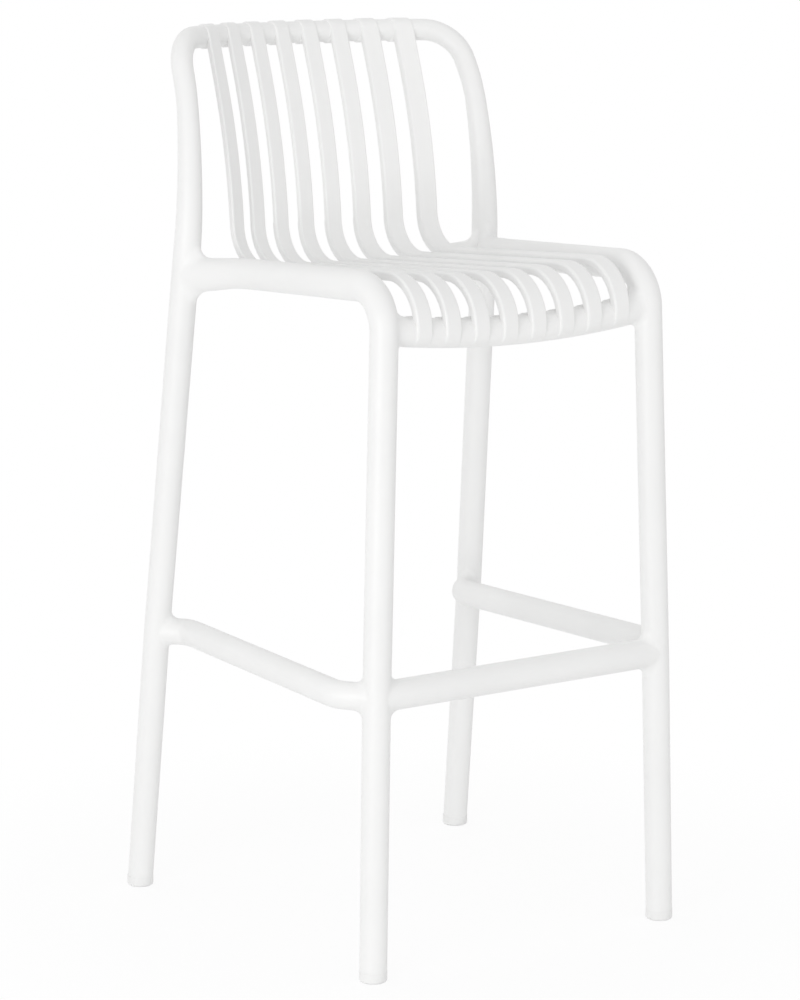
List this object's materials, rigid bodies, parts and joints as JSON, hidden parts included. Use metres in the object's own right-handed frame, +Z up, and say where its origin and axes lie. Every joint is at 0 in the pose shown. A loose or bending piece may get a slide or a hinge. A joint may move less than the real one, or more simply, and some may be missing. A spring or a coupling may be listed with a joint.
{
  "type": "bar chair",
  "caption": "White moulded plastic bar chair with a low bowed back, slats that run on from back to seat, and a footrest.",
  "frame": {"origin": "on the floor, under the middle of the chair's outline seen from above", "axes": "+Z up; the front of the seat faces -Y; X = 0 is the mid-plane, with the sitter's left at +X"},
  "size_m": [0.4922, 0.5004, 1.0185],
  "materials": {
    "frame_plastic": "satin, fine moulded grain",
    "slat_plastic": "satin, fine moulded grain",
    "glide_plastic": "satin, lightly scuffed below"
  },
  "bodies": {
    "root": {"front_leg_right": "frame_plastic", "front_leg_left": "frame_plastic", "rear_leg_right": "frame_plastic", "rear_leg_left": "frame_plastic", "side_rail_right": "frame_plastic", "side_rail_left": "frame_plastic", "front_seat_rail": "frame_plastic", "top_rail": "frame_plastic", "footrest_bar": "frame_plastic", "side_stretcher_right": "frame_plastic", "side_stretcher_left": "frame_plastic", "slat_1": "slat_plastic", "slat_2": "slat_plastic", "slat_3": "slat_plastic", "slat_4": "slat_plastic", "slat_5": "slat_plastic", "slat_6": "slat_plastic", "slat_7": "slat_plastic", "slat_8": "slat_plastic", "foot_glide_front_right": "glide_plastic", "foot_glide_front_left": "glide_plastic", "foot_glide_rear_right": "glide_plastic", "foot_glide_rear_left": "glide_plastic"}
  },
  "joints": []
}
